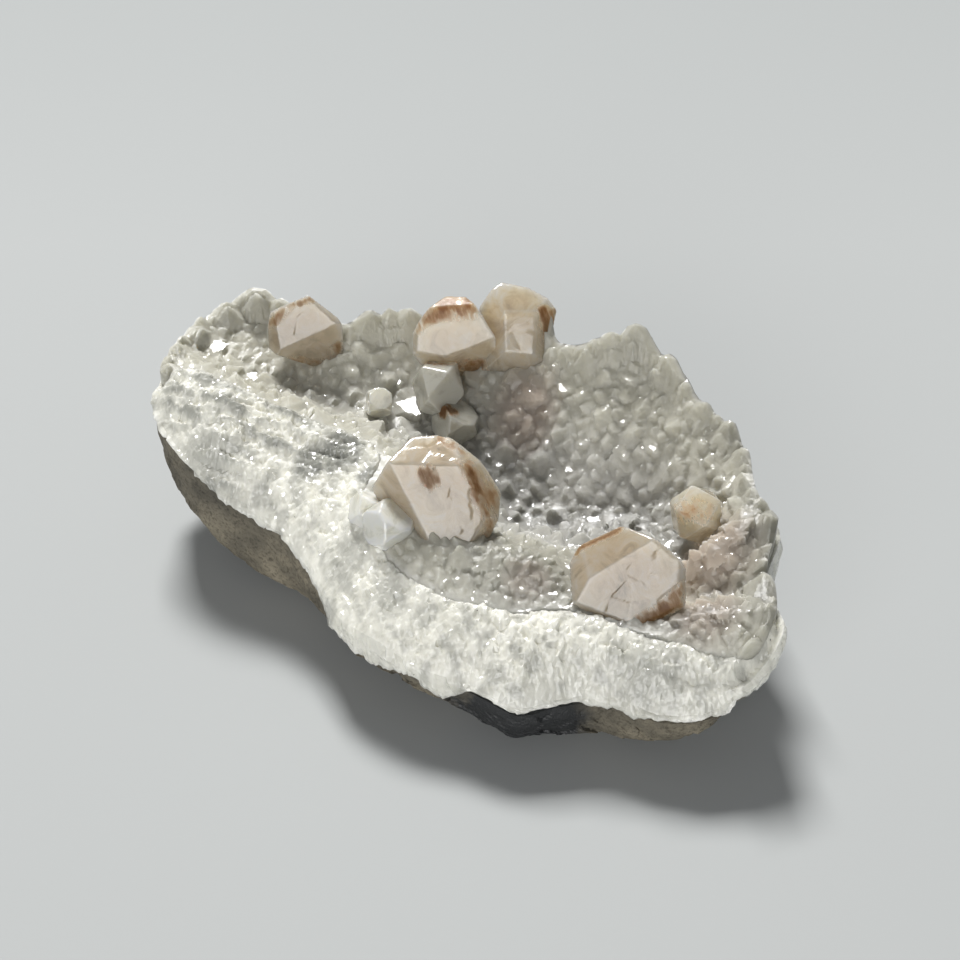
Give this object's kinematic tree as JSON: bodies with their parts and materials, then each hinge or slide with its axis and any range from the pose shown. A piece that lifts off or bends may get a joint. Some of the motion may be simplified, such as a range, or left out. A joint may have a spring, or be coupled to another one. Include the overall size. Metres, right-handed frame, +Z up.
{
  "type": "mineral specimen",
  "caption": "Broken half nodule of basalt, lined with white and grey-green quartz and set with blocky peach apophyllite and small clear crystals.",
  "frame": {"origin": "on the resting plane, under the middle of the specimen's bounding box", "axes": "+X along the greater width, +Z up, and -Y towards the low broken side that faces the camera"},
  "size_m": [0.0996, 0.0782, 0.0395],
  "materials": {
    "basalt": "rough",
    "white_quartz": "rough",
    "druse_quartz": "glossy",
    "peach_crystal": "glossy",
    "clear_crystal": "glossy"
  },
  "bodies": {
    "root": {"basalt_rind": "basalt", "white_quartz_layer": "white_quartz", "quartz_druse": "druse_quartz", "apophyllite_back_left": "peach_crystal", "apophyllite_back_pair": "peach_crystal", "apophyllite_centre": "peach_crystal", "apophyllite_front_right": "peach_crystal", "apophyllite_right": "peach_crystal", "clear_crystal_back": "clear_crystal", "clear_crystal_stained": "clear_crystal", "clear_crystal_cube": "clear_crystal", "clear_crystals_centre": "clear_crystal"}
  },
  "joints": []
}
